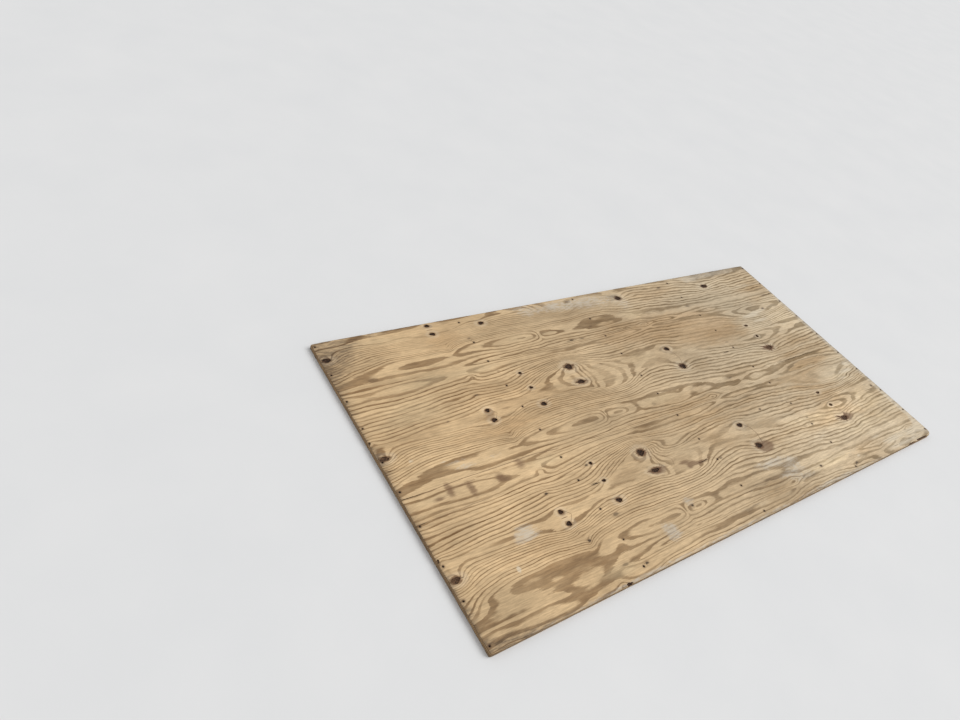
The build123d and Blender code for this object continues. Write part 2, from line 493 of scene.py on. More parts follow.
def mesh_object(name, points, polygons):
    """An object at the origin from points in millimetres."""
    mesh = bpy.data.meshes.new(name)
    mesh.from_pydata((np.asarray(points) * MM).tolist(), [], polygons)
    mesh.update()
    return placed(name, mesh)


def sheet_shell():
    """Face, wall and underside: the rim of the face lattice is the wall's first row."""
    x, y = fitted(*lattice(COLUMNS, ROWS))
    index = np.arange(x.size).reshape(x.shape)
    round_rim = rim(index)
    rim_x, rim_y = x.ravel()[round_rim], y.ravel()[round_rim]
    steps = np.hypot(np.diff(rim_x, append=rim_x[0]), np.diff(rim_y, append=rim_y[0]))
    along = np.cumsum(steps) - steps
    rows = [wall_row(rim_x, rim_y, along, height, inset) for height, inset in WALL_ROWS]
    face = np.stack([x, y, THICKNESS - hollowed(x, y)], -1).reshape(-1, 3)
    face[round_rim, :2] = rows[0][:, :2]
    below = x.size + np.arange(len(rim_x) * (len(rows) - 1)).reshape(len(rows) - 1, -1)
    wall = banded(np.vstack([round_rim, below]))
    polygons, inner = underside(below[-1], x.size + below.size)
    points = np.concatenate([face, *rows[1:], inner])
    return mesh_object("plywood", points, lattice_faces(index).tolist() + wall.tolist() + polygons)


plywood = sheet_shell()
print("shell:", len(plywood.data.vertices), "points,", len(plywood.data.polygons), "faces")

# %% [markdown]
# ## Holes, cracks and broken places
# The holes could be left out of the lattice, but then it would have to be fine enough for
# the smallest nail hole everywhere. Instead each hole is a closed cutting shape, a profile
# carried round or along, and the Boolean modifier takes the shapes away. They go where the
# solid has its own holes.


# %% Closed cutting shapes
def tube(stations):
    """A closed tube from rings of points: quads between rings and one polygon at each end."""
    count, around = stations.shape[:2]
    index = np.arange(count * around).reshape(count, around)
    sides = banded(index)[:, [3, 2, 1, 0]].tolist()
    return stations.reshape(-1, 3), sides + [index[0][::-1].tolist(), index[-1].tolist()]


def joined(shapes):
    """Several closed shapes as one list of points and one of polygons."""
    points, polygons, first = [], [], 0
    for shape_points, shape_polygons in shapes:
        points.append(shape_points)
        polygons += [[corner + first for corner in polygon] for polygon in shape_polygons]
        first += len(shape_points)
    return np.concatenate(points), polygons


def pit(x, y, length, width, profile, uneven, seed, around=28):
    """A hole, seen from above an uneven oval, whose profile scales it at each height."""
    angle = np.linspace(0, 2 * np.pi, around, endpoint=False)
    waves = ((2, seed, 0.4), (3, 2.1 * seed, 0.6), (7, 1.3 * seed, 0.35))
    wobble = 1 + uneven * sum(np.sin(n * angle + shift) * size for n, shift, size in waves)
    along, across = length / 2 * wobble * np.cos(angle), width / 2 * wobble * np.sin(angle)
    rings = [
        np.stack([x + along * share, y + across * share, np.full(around, height)], -1)
        for height, share in profile
    ]
    return tube(np.array(rings))


# %% [markdown]
# ### Nail holes
# The nails stand in rows over the joists, and every one strays a little. Each was pulled,
# so its hole has a shallow crater from the head and the claw, and a ragged mouth on the
# underside. A plain cylinder has neither, so a profile is carried round an uneven circle.

# %% Nail holes
JOIST_SPACING, END_ROW_INSET, ROW_EDGE_MARGIN = 609.6, 10.0, 24.6
NAIL_PITCH, END_NAIL_PITCH = 117.0, 130.0
NAIL_DRIFT, DRIFT_TURN, ROW_DRIFT_TURN, FIRST_DRIFT_TURN = 8.0, 2.3, 1.9, -0.2
NAIL_HOLE_WIDTH = 3.6
# height above the underside, and the share of the hole's width there
NAIL_PROFILE = table("-1 1.8, 0.5 1.2, 2 1, 16.4 1, 17 1.25, 17.7 2.1, 18 2.5, 18.6 2.8")


def nail_places():
    """The middle of every nail hole: even pitches, each shifted by a sine of its number."""
    end_row = HALF_LENGTH - END_ROW_INSET
    rows = [(-end_row, END_NAIL_PITCH), (end_row, END_NAIL_PITCH)]
    rows += [(number * JOIST_SPACING, NAIL_PITCH) for number in (-1, 0, 1)]
    places = []
    for row, (x, pitch) in enumerate(sorted(rows)):
        nail = np.arange(round((2 * HALF_WIDTH - 2 * ROW_EDGE_MARGIN) / pitch) + 1)
        drift = np.sin(FIRST_DRIFT_TURN + nail * DRIFT_TURN + row * ROW_DRIFT_TURN)
        y = ROW_EDGE_MARGIN - HALF_WIDTH + nail * pitch + NAIL_DRIFT * drift
        places.append(np.stack([np.full(len(nail), x), y], -1))
    return np.concatenate(places)


NAILS = nail_places()
nail_cuts = [
    pit(x, y, NAIL_HOLE_WIDTH, NAIL_HOLE_WIDTH, NAIL_PROFILE, 0.08, number, around=14)
    for number, (x, y) in enumerate(NAILS)
]
print(len(nail_cuts), "nail holes")

# %% [markdown]
# ### Open knots
# A dead knot shrinks and drops out of the veneer. It leaves an oval hole as deep as the
# face veneer, with a rough floor and a wall that leans in a little. It could be a dark spot
# in the material, but only a real hole has a rim that catches the light.

# %% Open knots
FACE_VENEER = 3.6
FLOOR, ABOVE = THICKNESS - FACE_VENEER, THICKNESS + 1
KNOT_PROFILE = [
    (FLOOR, 0.3), (FLOOR + 0.15, 0.66), (THICKNESS - 2.8, 0.86), (THICKNESS - 1.4, 0.94),
    (THICKNESS - 0.2, 1.0), (ABOVE, 1.04),
]
knot_cuts = [
    pit(x, y, length, width, KNOT_PROFILE, 0.2, number * 1.7)
    for number, (x, y, length, width, _, _) in enumerate(KNOTS)
]
print(len(knot_cuts), "knot holes")

# %% [markdown]
# ### Cracks, splits and broken edges
# A crack wanders with the grain, and is widest in the middle, or at the end of the sheet
# where it began. The wide ones are cut for the same reason as the knots, by a four-sided
# section carried along such a path. Where the veneer broke away at an edge, a pit with a
# rough outline cuts it.

# %% Cracks and breaks
# from the left end, across, length, width
FACE_CRACKS = table("""
    2120 -25 330 2.6, 1762 105 40 2.6, 1150 -329 66 2.8, 664 -263 36 2.8, 1040 366 70 2.2
""")
LEFT_END_SPLITS = table("-90 75 2.6, -186 42 2.2, 20 34 2")  # across, reach, mouth
RIGHT_END_SPLITS = table("382 120 2.4, -14 90 2")
CRACKED_KNOT_LENGTH, KNOT_CRACK_REACH, KNOT_CRACK_WIDTH = 30.0, 16.0, 2.4
NEAR_EDGE_BREAKS = table("524 26 9, 2262 70 4.5, 2352 96 7")  # from the left end, length, reach
LEFT_END_BREAKS = table("138 15 8, -314 15 8")  # across, length, reach
BREAK_PROFILE = [(FLOOR, 0.8), (THICKNESS - 2.2, 0.9), (THICKNESS - 0.6, 0.98), (ABOVE, 1.05)]


def crack(x, y, length, width):
    """A lens-shaped slot along the grain: half width one minus the square of the way along.

    Its middle line wanders by noise, and so does its width.
    """
    way = np.linspace(-1, 1, max(9, int(length / 7)))
    along = x + way * length / 2
    fade = 1 - way**2
    wander = 0.035 * min(length, 60) * smooth_noise(along, y, 37, 9, 41)
    middle = y + fade * (wander + 0.8 * smooth_noise(along, y, 11, 9, 42))
    half = width / 2 * fade * (1 + 0.35 * smooth_noise(along, y, 9, 9, 43)) + 0.08
    corners = [(1, ABOVE), (-1, ABOVE), (-0.6, FLOOR), (0.6, FLOOR)]
    rows = [
        np.stack([along, middle + share * half, np.full_like(along, level)], -1)
        for share, level in corners
    ]
    return tube(np.stack(rows, 1))


crack_cuts = [crack(distance - HALF_LENGTH, *row) for distance, *row in FACE_CRACKS]
for end, splits in ((-HALF_LENGTH, LEFT_END_SPLITS), (HALF_LENGTH, RIGHT_END_SPLITS)):
    crack_cuts += [crack(end, y, 2 * reach, mouth) for y, reach, mouth in splits]
crack_cuts += [
    crack(x, y, length + 2 * KNOT_CRACK_REACH, KNOT_CRACK_WIDTH)
    for x, y, length, _, _, _ in KNOTS
    if length >= CRACKED_KNOT_LENGTH
]
crack_cuts += [
    pit(distance - HALF_LENGTH, -HALF_WIDTH, length, 2 * reach, BREAK_PROFILE, 0.16, distance, 44)
    for distance, length, reach in NEAR_EDGE_BREAKS
]
crack_cuts += [
    pit(-HALF_LENGTH, y, 2 * reach, length, BREAK_PROFILE, 0.12, y)
    for y, length, reach in LEFT_END_BREAKS
]
print(len(crack_cuts), "cracks, splits and breaks")

# %% [markdown]
# ### Cutting
# One cutter could hold every shape if none met another. But cracks run into knots, so
# nails, knots and cracks are cut one after the other. A count of the open edges proves that
# the shell is still closed.


# %% Cut the shell
def cut_away(piece, shapes, name):
    """Take the closed shapes out of the piece with a Boolean modifier, and apply it."""
    cutter = mesh_object(name, *joined(shapes))
    away = piece.modifiers.new(name, "BOOLEAN")
    away.operation, away.solver, away.object = "DIFFERENCE", "EXACT", cutter
    seen = piece.evaluated_get(bpy.context.evaluated_depsgraph_get())
    result = bpy.data.meshes.new_from_object(seen)
    piece.modifiers.clear()
    piece.data = result
    bpy.data.objects.remove(cutter)


def read(items, name, width=1, kind=float):
    """What all points, edges or faces have under a name, as an array with a row for each."""
    values = np.zeros(len(items) * width, kind)
    items.foreach_get(name, values)
    return values.reshape(-1, width)


for name, shapes in (("nails", nail_cuts), ("knots", knot_cuts), ("cracks", crack_cuts)):
    cut_away(plywood, shapes, name)
mesh = plywood.data
edge_uses = np.bincount(read(mesh.loops, "edge_index", kind=int)[:, 0], minlength=len(mesh.edges))
triangles = len(mesh.loops) - 2 * len(mesh.polygons)
print("cut sheet:", triangles, "triangles, open edges", int((edge_uses != 2).sum()))

# %% [markdown]
# ## Numbers that ride on the sheet
# A material can only draw a knot in the right place if it knows where it is. A picture laid
# over the sheet could tell it, but only as finely as its pixels. Instead the sheet carries
# numbers at its points, worked out from their places now that the cutting is done. They
# change evenly across a face, so what is drawn from them is as sharp as if it were drawn
# with a compass, however large the faces are.

# %% Places of the points
spot_x, spot_y, _ = read(mesh.vertices, "co", 3).T / MM


def give(name, values):
    """Store one number, or three, for each point of the sheet, for the materials to read."""
    kind, field = ("FLOAT", "value") if values.ndim == 1 else ("FLOAT_VECTOR", "vector")
    stored = mesh.attributes.new(name, kind, "POINT")
    stored.data.foreach_set(field, values.astype(np.float32).ravel())


NEARBY = 3  # mm to each side, over which the rings are counted for the crowding
give("rings", ring_count(spot_x, spot_y))
rise = ring_count(spot_x, spot_y + NEARBY) - ring_count(spot_x, spot_y - NEARBY)
crowding = np.abs(rise) / (2 * NEARBY)
give("crowding", crowding)
print("rings in 100 mm:", round(100 * crowding.min(), 1), "to", round(100 * crowding.max(), 1))

# %% [markdown]
# ### The nearest knot
# Round each knot the wood is darker and the rings rise. The material could hold a mask for
# every knot, but the nearest one is enough: the way to it along and across, in half sizes
# of the knot, and a weight that fades to nothing before another knot is nearer.


# %% Knot numbers
def nearest_mark(marks, fade_from, fade_to):
    """The way from each point to its nearest mark in half sizes of it, a weight, its number."""
    along = (spot_x[:, None] - marks[:, 0]) / (marks[:, 2] / 2)
    across = (spot_y[:, None] - marks[:, 1]) / (marks[:, 3] / 2)
    far = np.hypot(along, across)
    number = far.argmin(axis=1)
    along, across, far = (way[np.arange(len(way)), number] for way in (along, across, far))
    weight = np.clip((fade_to - far) / (fade_to - fade_from), 0, 1)
    return np.stack([along, across, weight], -1), number


knot_way, knot_number = nearest_mark(KNOTS, 3.0, 3.6)
give("knot_way", knot_way)
luck = np.random.default_rng(7).uniform(0, 1, len(KNOTS))
knot_look = np.stack([KNOTS[:, 4] * (0.8 + 0.4 * luck), KNOTS[:, 5], luck], -1)
give("knot_look", knot_look[knot_number])

# %% [markdown]
# ### Nails and small marks
# Every nail left a dark rusty ring. Between them are pin knots, pitch pockets and dents,
# which are too small to be cut. They ride on the sheet as the knots do. A mark fades out
# between 18 and 26 mm from its middle.

# %% Mark numbers
# along, across, length, width, darkness
SMALL_MARKS = table("""
    -725 -433 13 10 .8, -570 -388 26 14 .5, -918 140 14 7 .45, -665 -548 30 12 .45,
    -590 -572 14 9 .8, 441 -530 13 9 .9, 418 -212 12 8 .8, 424 -27 26 7 .4, 531 565 24 10 .6,
    592 415 26 12 .4, 546 105 34 6 .5, 604 158 24 8 .3, 1041 298 20 10 .7, 1143 380 30 8 .5,
    -178 368 24 10 .6, -122 365 26 5 .6, -751 218 18 9 .45, -755 -234 14 9 .8, -540 -186 16 9 .7,
    -565 -262 30 10 .4, -265 -465 12 10 .8, -60 -35 24 16 .22, 20 -345 13 7 .5, 1180 -293 16 14 .8,
    822 575 22 9 .35, 575 -212 24 8 .25, 618 -322 16 8 .4, 560 -355 26 9 .22, -1080 388 40 22 .3,
    -520 190 16 10 .4, 634 -578 15 9 .7, -40 585 26 12 .4, 100 618 30 8 .3, -618 490 16 8 .5,
    -30 418 26 7 .25, -34 305 26 8 .22
""")
RUST_RING, MARK_REACH, MARK_FADE = 8.5, 26, 8
nail_looks = np.tile([RUST_RING, RUST_RING, 1.0], (len(NAILS), 1))
MARKS = np.vstack([np.hstack([NAILS, nail_looks]), SMALL_MARKS])
_, mark_number = nearest_mark(np.hstack([MARKS[:, :2], np.full((len(MARKS), 2), 2.0)]), 1, 2)
mark_x, mark_y, mark_length, mark_width, mark_dark = MARKS[mark_number].T
way_x, way_y = spot_x - mark_x, spot_y - mark_y
near_mark = np.clip((MARK_REACH - np.hypot(way_x, way_y)) / MARK_FADE, 0, 1)
mark_way = [way_x / (mark_length / 2), way_y / (mark_width / 2), near_mark * mark_dark]
give("mark_way", np.stack(mark_way, -1))
print(len(MARKS), "marks")

# %% [markdown]
# ### Checks
# Fine dark checks run on from the end splits, and others join a small knot to a larger one.
# They are too thin to cut, so each is a bent line of a few places. The sheet carries the
# signed distance to the nearest one, which passes evenly through zero, so the line comes
# out thin and sharp between points that lie far apart.

# %% Check lines
# darkness, then along and across for each place of the line
CHECKS = table("""
    .75 -1219 -90 -1130 -91 -1000 -84 -850 -84 -700 -80 -600 -90,
    .5 -1219 -186 -1100 -184 -940 -179, .6 240 200 262 172 266 140 248 100,
    .8 254 -244 280 -270 288 -305 272 -352, .8 800 143 812 112 816 74,
    .7 820 -307 836 -335 845 -378, .5 -286 -220 -262 -245 -256 -280 -280 -295,
    .4 -270 -216 -225 -240 -190 -282 -200 -300, .5 -504 110 -486 124 -440 128,
    .5 -738 138 -722 122 -738 100, .5 -738 -308 -720 -330 -738 -352, .6 -60 -330 -28 -322 -10 -330
""")
CHECK_END_FADE, CHECK_REACH, CHECK_FADE = 6, 16, 4


def check_numbers(x, y):
    """Signed way in mm from the nearest check, and its darkness, which fades past its ends."""
    offset, dark, nearest = np.zeros_like(x), np.zeros_like(x), np.full_like(x, 1e9)
    for darkness, *line in CHECKS:
        places = np.reshape(line, (-1, 2))
        for (x0, y0), (x1, y1) in zip(places[:-1], places[1:]):
            length = math.hypot(x1 - x0, y1 - y0)
            run_x, run_y = (x1 - x0) / length, (y1 - y0) / length
            way = (x - x0) * run_x + (y - y0) * run_y
            side = (y - y0) * run_x - (x - x0) * run_y
            past = np.maximum(np.maximum(-way, way - length), 0)
            far = np.hypot(side, past)
            closer = far < nearest
            nearest = np.where(closer, far, nearest)
            offset = np.where(closer, side, offset)
            shown = np.clip(1 - past / CHECK_END_FADE, 0, 1)
            shown *= darkness * np.clip((CHECK_REACH - far) / CHECK_FADE, 0, 1)
            dark = np.where(closer, shown, dark)
    return np.stack([offset, dark, np.zeros_like(x)], -1)


give("check", check_numbers(spot_x, spot_y))
print(len(CHECKS), "checks")

# %% [markdown]
# ### Stains, wear and grey
# Wet, sun and boots leave soft-edged patches. They could be painted by hand, but a list of
# ovals that fade outwards is easier to move and to mend. Patches of one kind are added up,
# and the material breaks their edges up along the grain. Four more kinds say where the
# lines are faint, where the wood is a warmer brown, where it is paler, and where it is
# lighter, or darker below nought. The pale strips along the near edge are partly a painted
# highlight, where the rounded near edge faces the light.

# %% Patches
# along, across, half length, half width, strength
GREYED = table("""
    -1195 590 60 40 .6, -1150 560 70 34 1, -1200 500 70 80 .6, -1160 515 40 16 .7,
    -1165 545 50 50 .6, -420 -530 220 50 .3, -1000 -575 160 24 .3, -1212 420 50 80 .4,
    -1212 300 36 90 .3, -1208 60 22 60 .4, -1212 -480 26 90 .6, -1190 -590 80 26 .9,
    -1080 -603 160 12 .9, -262 -440 40 26 .5, 110 -495 130 18 .7, 350 -545 90 14 .7,
    -1100 510 200 100 .6, -1150 590 150 24 .7, -1210 -200 30 300 .3, -1210 200 30 300 .3,
    1020 592 300 26 .9, 800 560 200 30 .5, 1206 0 24 420 .6, 1100 -590 120 12 .5, 222 566 34 12 1.3,
    200 546 40 9 .8, 262 540 26 9 .6, -900 608 160 12 .5
""")
RUBBED = table("""
    1130 -560 80 20 1.1, 960 -556 80 18 .8, 1190 -540 24 30 1, 1010 -590 150 10 .9,
    870 -516 60 10 .6, 1170 -140 26 16 1.2, 1120 -176 60 12 .9, 1060 -205 50 8 .6,
    1208 100 14 420 .9, 1205 -420 20 160 .8, 940 590 200 20 .7, 760 585 60 24 .8, 1080 470 70 20 .4,
    980 286 60 12 .8, 910 270 60 12 1, 945 232 60 9 .8, 1120 300 70 20 .4, 600 -420 200 30 .35,
    -1000 -22 40 6 .6, -1120 32 8 5 1, -1020 -5 12 4 .9, -1000 -428 5 9 2.4, 680 -556 12 6 .9,
    -30 -560 200 20 .3
""")
BROWNED = table("""
    -1056 -112 14 32 1, -984 -128 15 32 1, -1020 -104 30 6 .6, -870 -124 18 20 .9,
    -845 -135 20 12 .7, -1104 -128 24 8 .9, -960 -100 9 8 .5, -152 -306 26 8 1, -118 -322 26 9 1.2,
    -140 -330 12 10 .9, -80 -330 34 5 1.6, 270 -367 36 22 1.5, -770 -98 22 26 .8, -287 -212 24 18 1,
    -275 -300 36 16 1.1, -282 152 30 12 .8, -1197 67 20 13 .7, -1197 -385 22 16 .7,
    -1197 519 20 13 .5, 812 66 44 10 1.2, 812 66 14 26 .8, 845 -385 46 11 1.2, 845 -385 14 28 .8,
    275 -369 30 17 1.2, -600 300 10 6 .5, 900 400 60 8 .3
""")
# pale smears and a grey film; the thin rows along the near edge are partly a painted highlight of
# the lit, rounded near edge
SMEARS_AND_EDGE_HIGHLIGHT = table("""
    1000 612 330 14 .5, -860 -607 300 8 .5, -100 -606 420 9 .6, 600 -607 260 8 .6,
    -600 -605 200 7 .5, 200 -450 70 18 .3, 300 -474 60 34 .6, 240 -505 70 14 .4, 190 -430 90 20 .5,
    300 -520 70 30 .4, -300 600 60 14 .5, -280 560 30 26 .4, -40 556 120 34 .35, 120 540 110 40 .35,
    250 500 60 40 .4, -912 -322 36 18 1.2, -900 -346 40 12 1, -935 -345 24 14 .9, -426 -516 24 34 1,
    -405 -535 26 9 .9, -398 -505 14 14 .7, -128 578 20 14 1, -960 -46 46 12 .6, -840 -40 60 14 .35,
    250 -440 60 12 .5, 330 -455 50 10 .5, 330 -540 70 12 .4, -268 -445 26 18 .7, -970 -18 34 6 .6,
    -210 572 150 26 .45, 30 572 170 30 .45, 430 -600 160 8 .5
""")
FAINT = table("""
    -1010 190 240 60 .5, -950 -230 240 50 .4, -620 52 130 46 .9, -840 44 90 38 .7,
    -640 520 150 60 .9, -850 500 120 50 .7, -560 -415 160 34 .4, -130 540 260 60 .9,
    110 550 160 50 .9, 910 -150 170 50 1.1, 720 -120 90 40 .8, 560 -560 200 22 1,
    330 -240 130 26 .9, 380 -285 120 24 1.3, 90 -255 110 24 1.1, 150 -302 110 26 1,
    -420 150 60 40 .8, 110 150 90 26 .9, -420 -272 100 24 1.1, -170 -318 60 18 .8,
    -80 -290 60 40 .6, 330 150 110 44 .8, 700 190 240 70 .7, 480 250 200 70 .5, 560 290 160 90 .6,
    120 200 130 44 .6, 60 -20 120 30 .3, 0 -420 220 40 .5, 820 -270 120 60 .5, -150 170 120 70 .95,
    -150 -270 110 50 .6, -900 570 200 40 .7, 700 580 400 40 .6, 1000 100 150 80 .4,
    -300 -350 160 40 .3
""")
WARM = table("""
    560 270 220 110 1.3, 330 330 200 80 .9, 60 330 200 60 .7, -720 500 110 70 .8, -660 60 120 60 .6,
    -860 60 130 50 .5, -900 -390 200 50 .5, 420 540 200 60 .6, -380 540 100 60 .4,
    620 -250 160 60 .4, 330 70 90 40 .5, -950 250 260 60 .15, 40 430 170 40 .4
""")
PALER = table("""
    -900 330 170 30 .7, -660 335 90 24 .7, -410 440 80 34 .6, -1040 180 200 40 .5,
    -680 -120 80 22 .9, -1100 -125 120 18 .6, -900 -45 140 24 .4, -1000 240 150 50 .6,
    -700 -560 90 26 .9, -520 -290 140 30 .5, 0 -25 120 30 .8, 90 200 120 40 .6, 500 -80 160 40 .4,
    640 -330 200 40 .6, 880 -440 240 60 .5, 1120 240 120 160 .5, 1080 -340 120 100 .6,
    240 440 90 40 .7, 500 -530 160 24 .8, 1050 -180 120 60 .4, -1000 560 200 30 .6
""")
SHADING = table("""
    700 440 260 70 -.24, 900 320 170 90 -.2, 600 140 330 90 -.13, 320 120 120 60 -.08,
    500 450 120 50 -.05, -880 345 130 50 -.26, -480 480 330 90 -.11, -700 380 120 50 -.08,
    -1100 -520 110 80 -.3, -400 -50 150 45 -.22, -420 -510 180 60 -.1, 800 -345 240 60 .4,
    430 -350 170 45 .14, 100 -150 110 130 .24, 900 -260 120 40 .08, -880 -450 120 40 .14,
    -600 170 200 80 .2, -650 50 120 40 .07, -300 50 110 40 .09, -90 -60 100 40 .1,
    640 -550 200 40 .18, 300 60 120 50 -.12, 900 240 90 40 -.1, -1080 -60 120 50 -.14,
    -900 -150 140 50 -.1, -100 540 260 50 -.1, -400 555 150 40 -.06, -1100 -250 110 50 -.12,
    -100 -250 100 50 -.13, 300 -250 110 45 -.11, 1100 -150 100 50 -.14, 750 350 160 50 -.08,
    600 50 220 50 -.06
""")


def patches(rows):
    """The sum of ovals that fade as the exponential of minus the square of the way out."""
    total = np.zeros_like(spot_x)
    for x, y, half_length, half_width, strength in rows:
        way_out = ((spot_x - x) / half_length) ** 2 + ((spot_y - y) / half_width) ** 2
        total += strength * np.exp(-way_out)
    return total


RIM_GREY, RIM_GREY_DEPTH = 0.8, 6
to_rim = np.minimum(HALF_LENGTH - np.abs(spot_x), HALF_WIDTH - np.abs(spot_y))
rim_grey = RIM_GREY * np.exp(-np.clip(to_rim, 0, None) / RIM_GREY_DEPTH)
give("wear", np.stack([patches(GREYED) + rim_grey, patches(RUBBED), patches(BROWNED)], -1))
give("tone", np.stack([patches(FAINT), patches(WARM), patches(PALER)], -1))
give("smear_and_edge_highlight", patches(SMEARS_AND_EDGE_HIGHLIGHT))
give("shading", patches(SHADING))
print("patches:", sum(map(len, (GREYED, RUBBED, BROWNED, FAINT, WARM, PALER, SMEARS_AND_EDGE_HIGHLIGHT, SHADING))))

# %% [markdown]
# ## Materials
# Every finish is built from shader nodes. They could be joined by hand in the editor, but a
# script shows what goes into what. The helpers add nodes to the material begun last: they
# are kept in tree, and place is where each point lies on the piece. What comes out of a
# node is wrapped in a small class, so that sums on it are written as formulas.


# %% Node helpers
class Number:
    """What comes out of a node. A sum on it adds a Math node."""

    def __init__(self, socket):
        self.socket = socket

    def __add__(self, other):
        return sums("ADD", self, other)

    def __mul__(self, other):
        return sums("MULTIPLY", self, other)

    def __sub__(self, other):
        return sums("SUBTRACT", self, other)

    def __rsub__(self, other):
        return sums("SUBTRACT", other, self)

    def __truediv__(self, other):
        return sums("DIVIDE", self, other)

    def __abs__(self):
        return sums("ABSOLUTE", self)

    __radd__, __rmul__ = __add__, __mul__


def new_material(name):
    """A material, its nodes, and the place of each point on the piece, which is the first."""
    material = bpy.data.materials.new(name)
    material.use_nodes = True
    nodes = material.node_tree.nodes
    nodes.clear()
    return material, material.node_tree, Number(nodes.new("ShaderNodeTexCoord").outputs["Object"])


def node(kind, wanted, inputs=None, **settings):
    """Add a node, give its inputs values or numbers by name or index, return what is wanted."""
    made = tree.nodes.new("ShaderNode" + kind)
    for name, value in settings.items():
        setattr(made, name, value)
    for socket, value in (inputs or {}).items():
        if isinstance(value, Number):
            tree.links.new(value.socket, made.inputs[socket])
        else:
            made.inputs[socket].default_value = value
    return None if wanted is None else Number(made.outputs[wanted])


def sums(operation, *terms):
    """One sum on numbers, such as ADD, MULTIPLY or FRACT."""
    return node("Math", 0, dict(enumerate(terms)), operation=operation)


def parts(vector):
    """The three numbers of a vector."""
    return [Number(part) for part in node("SeparateXYZ", 0, {0: vector}).socket.node.outputs]


def stored(name, wanted="Fac"):
    """What the sheet carries under this name: a number, or a Vector if that is wanted."""
    return node("Attribute", wanted, attribute_name=name)


def step(value, start, end, first=0.0, last=1.0):
    """From first to last as the value goes from start to end, smoothly and no further."""
    inputs = dict(enumerate((value, start, end, first, last)))
    return node("MapRange", "Result", inputs, interpolation_type="SMOOTHSTEP")


def mixed(share, first, second, how="MIX"):
    """Two colours mixed by a share from 0 to 1."""
    return node("Mix", 2, {0: share, 6: first, 7: second}, data_type="RGBA", blend_type=how)


def coated(wood, *coats):
    """The wood with one coat after the other: the share of each, and its colour."""
    for share, *paint in coats:
        wood = mixed(share, wood, *paint)
    return wood


def noise(along, across, through=1.0, detail=3.0, roughness=0.55, where=None):
    """Noise from 0 to 1 with so many cells per metre along, across and through the sheet."""
    scaled = node("Mapping", 0, {"Vector": where or place, "Scale": (along, across, through)})
    inputs = {"Vector": scaled, "Scale": 1.0, "Detail": detail, "Roughness": roughness}
    return node("TexNoise", "Fac", inputs)


def luck_of(number):
    """A random number from 0 to 1 that goes with each whole number."""
    return node("TexWhiteNoise", "Value", {"W": number}, noise_dimensions="1D")


def finish_surface(colour, roughness, height, strength, distance):
    """The wood shader: colour, roughness and a bump from a height, joined to the output."""
    bump = node("Bump", 0, {"Height": height, "Strength": strength, "Distance": distance})
    look = {"Base Color": colour, "Roughness": roughness, "Normal": bump}
    look |= {"IOR": 1.45, "Specular IOR Level": 0.35}
    node("OutputMaterial", None, {"Surface": node("BsdfPrincipled", "BSDF", look)})


# %% [markdown]
# ### The face veneer
# The face is peeled pine. A picture of wood would repeat, and blur when seen from close by,
# so its lines are drawn from the count of rings. The count gets the lift round each knot,
# ragged noise and fine fibre noise on top, and its fraction is the way through one year.
# Late wood grows in slowly and stops at once with the winter, so the lines start softly and
# end sharply. Where the knife ran along a ring, the same late wood lies open as a broad
# brown flame.

# %% Rings in the material
face_veneer, tree, place = new_material("face_veneer")
along, across, _ = parts(place)
knot_along, knot_across, near_knot = parts(stored("knot_way", "Vector"))
knot_lift, knot_dark, knot_luck = parts(stored("knot_look", "Vector"))
knot_away = sums("SQRT", knot_along * knot_along + knot_across * knot_across + 0.03)
lift = sums("EXPONENT", knot_away * -1) * knot_lift * near_knot

broad = step(stored("crowding"), 0.02, 0.09, 1, 0)  # 1 where the rings lie far apart
ragged = noise(11, 60, 1, 4, 0.6) * 0.5 - 0.25
fibre = noise(34, 420, 1, 2) * 0.16 - 0.08
wavy = (noise(13, 30, 1, 2) - 0.5) * step(along, -0.3, 0.4, 0.4, 1.3) * (1 - 0.75 * broad)
count = stored("rings") + lift + ragged + fibre + wavy

year = sums("FRACT", count)
soft = step(along, -0.3, 0.5) * (1 - broad)
late_starts = 0.54 - 0.1 * broad - 0.16 * soft
late_is_full = 0.83 - 0.19 * broad + 0.04 * soft
late = step(year, late_starts, late_is_full) * step(year, 0.93, 1, 1, 0)
print("face veneer: rings ready")

# %% [markdown]
# ### The colour of the wood
# The peeled pine is pale gold between the dark lines. Towards the right end it is paler,
# which is painted light: the glow of the light from that side.
# Two even colours would look printed. So each ring has its own luck, and noise of every
# size makes the wood uneven.

# %% Wood of the face
EARLY_GOLD, EARLY_PALE = light_of(212, 182, 140), light_of(209, 190, 160)
EARLY_TAN, WARM_TAN = light_of(184, 154, 115), light_of(184, 148, 105)
LATE_BROWN, LATE_PALE = light_of(111, 76, 36), light_of(107, 82, 42)
PALER_WOOD = light_of(222, 200, 160)

ring_luck = luck_of(sums("FLOOR", count))
# painted light: the wood turns paler towards the right end, as the light from the right glows there
painted_glow_to_right = step(along, -0.9, 1.1)
cloudy = noise(1.6, 3.6, 1, 4, 0.6)
mottled = noise(9, 34, 1, 4, 0.65)
fibres = noise(7, 330, 1, 3, 0.6)
streaks = noise(2.2, 70, 1, 3, 0.6)
gritty = noise(26, 170, 1, 4, 0.7)


def loosened(amount, low=0.15, high=0.9):
    """A patch whose strength follows the mottling, so that its outline isn't seen."""
    moved = amount + (mottled * 0.9 - 0.45)
    return step(moved * step(amount, 0, 0.3), low, high)


faint, warm, paler = (loosened(amount) for amount in parts(stored("tone", "Vector")))
tan_share = step(cloudy, 0.4, 0.68) * (ring_luck * 0.5 + 0.45)
early = mixed(painted_glow_to_right, EARLY_GOLD, EARLY_PALE)
early = coated(early, (tan_share, EARLY_TAN), (warm * 0.45, WARM_TAN))

